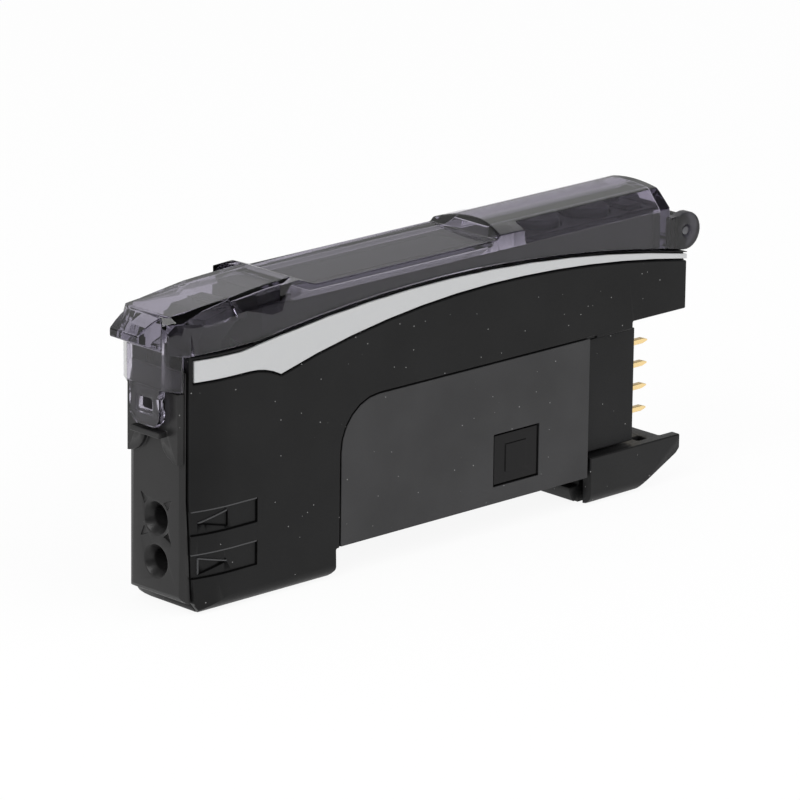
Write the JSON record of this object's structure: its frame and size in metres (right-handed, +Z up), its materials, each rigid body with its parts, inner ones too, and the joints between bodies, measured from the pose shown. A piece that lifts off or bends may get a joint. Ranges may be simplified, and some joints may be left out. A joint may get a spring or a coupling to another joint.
{
  "type": "fibre optic sensor amplifier",
  "caption": "Narrow amplifier for a pair of plastic light fibres, clipped on a mounting rail, with a smoked hinged cover over display and keys and a plug with pins at the rear.",
  "frame": {"origin": "middle of the flat seat that lies on the 35 mm rail, in the middle of the body's width", "axes": "+X along the body towards the plug, +Y to the far side, +Z up, away from the rail"},
  "size_m": [0.0766, 0.01, 0.033],
  "materials": {
    "main_case": "fine matt moulded",
    "side_cover": "fine matt moulded",
    "stripe_near": "satin pale grey",
    "stripe_far": "satin pale grey",
    "side_label": "blank satin film",
    "link_window_near": "infrared passing, polished",
    "link_window_far": "infrared passing, polished",
    "fibre_block": "satin moulded",
    "fibre_clamp": "moulded",
    "lock_lever": "satin moulded",
    "lever_axle": "ground",
    "optics_holder": "matt moulded",
    "light_emitter": "clear tinted",
    "light_receiver": "dark tinted",
    "receiver_shield": "tinned sheet",
    "main_board": "solder resist on glass fibre",
    "processor_chip": "moulded package",
    "power_capacitor": "moulded package",
    "link_emitter": "clear moulded",
    "link_receiver": "dark moulded",
    "board_header": "moulded",
    "display_board": "solder resist on glass fibre",
    "display_module": "dark display face",
    "display_lens": "dark polished",
    "operation_panel": "satin moulded",
    "switch_rocker_up": "moulded with metal cover",
    "switch_rocker_down": "moulded with metal cover",
    "switch_tune": "moulded with metal cover",
    "switch_mode": "moulded with metal cover",
    "switch_output": "moulded with metal cover",
    "key_rocker": "satin moulded",
    "key_tune": "satin moulded",
    "key_mode": "satin moulded",
    "key_output": "satin moulded",
    "connector_housing": "matt moulded",
    "contact_pin_1": "gold plated",
    "contact_pin_2": "gold plated",
    "contact_pin_3": "gold plated",
    "contact_pin_4": "gold plated",
    "rail_hook": "satin moulded",
    "hook_spring": "spring wire",
    "protective_cover": "smoked clear, polished",
    "hinge_pin": "dark steel"
  },
  "bodies": {
    "case": {"main_case": "main_case", "side_cover": "side_cover", "stripe_near": "stripe_near", "stripe_far": "stripe_far", "side_label": "side_label", "link_window_near": "link_window_near", "link_window_far": "link_window_far", "fibre_block": "fibre_block", "lever_axle": "lever_axle", "optics_holder": "optics_holder", "light_emitter": "light_emitter", "light_receiver": "light_receiver", "receiver_shield": "receiver_shield", "main_board": "main_board", "processor_chip": "processor_chip", "power_capacitor": "power_capacitor", "link_emitter": "link_emitter", "link_receiver": "link_receiver", "board_header": "board_header", "display_board": "display_board", "display_module": "display_module", "display_lens": "display_lens", "operation_panel": "operation_panel", "switch_rocker_up": "switch_rocker_up", "switch_rocker_down": "switch_rocker_down", "switch_tune": "switch_tune", "switch_mode": "switch_mode", "switch_output": "switch_output", "connector_housing": "connector_housing", "contact_pin_1": "contact_pin_1", "contact_pin_2": "contact_pin_2", "contact_pin_3": "contact_pin_3", "contact_pin_4": "contact_pin_4", "hook_spring": "hook_spring", "hinge_pin": "hinge_pin"},
    "cover": {"protective_cover": "protective_cover"},
    "lever": {"lock_lever": "lock_lever"},
    "clamp": {"fibre_clamp": "fibre_clamp"},
    "hook": {"rail_hook": "rail_hook"},
    "rocker": {"key_rocker": "key_rocker"},
    "tune": {"key_tune": "key_tune"},
    "mode": {"key_mode": "key_mode"},
    "output": {"key_output": "key_output"}
  },
  "joints": [
    {"name": "cover_hinge", "type": "hinge", "parent": "case", "child": "cover", "pos_m": [0.032, 0, 0.0245], "axis": [0, 1, 0], "range_deg": [0, 110]},
    {"name": "lever_hinge", "type": "hinge", "parent": "case", "child": "lever", "pos_m": [-0.0342, 0, 0.0217], "axis": [0, 1, 0], "range_deg": [-56, 0]},
    {"name": "clamp_slide", "type": "slide", "parent": "case", "child": "clamp", "axis": [0, 0, 1], "range_m": [0, 0.0005]},
    {"name": "hook_slide", "type": "slide", "parent": "case", "child": "hook", "axis": [1, 0, 0], "range_m": [0, 0.0018], "stiffness_N_per_m": 2500, "springref_m": -0.001, "deforming": ["hook_spring"]},
    {"name": "rocker_hinge", "type": "hinge", "parent": "case", "child": "rocker", "pos_m": [0.014, 0, 0.02645], "axis": [0, 1, 0], "range_deg": [-5, 5], "stiffness_Nm_per_rad": 0.02},
    {"name": "tune_press", "type": "slide", "parent": "case", "child": "tune", "axis": [0, 0, -1], "range_m": [0, 0.00025], "stiffness_N_per_m": 400, "springref_m": -0.0003},
    {"name": "mode_press", "type": "slide", "parent": "case", "child": "mode", "axis": [0, 0, -1], "range_m": [0, 0.00025], "stiffness_N_per_m": 400, "springref_m": -0.0003},
    {"name": "output_press", "type": "slide", "parent": "case", "child": "output", "axis": [0, 0, -1], "range_m": [0, 0.00025], "stiffness_N_per_m": 400, "springref_m": -0.0003}
  ],
  "couplings": [
    {"joint": "lever_hinge", "follows": "cover_hinge", "ratio": -0.5},
    {"joint": "clamp_slide", "follows": "cover_hinge", "m_per_rad": 0.00026}
  ]
}
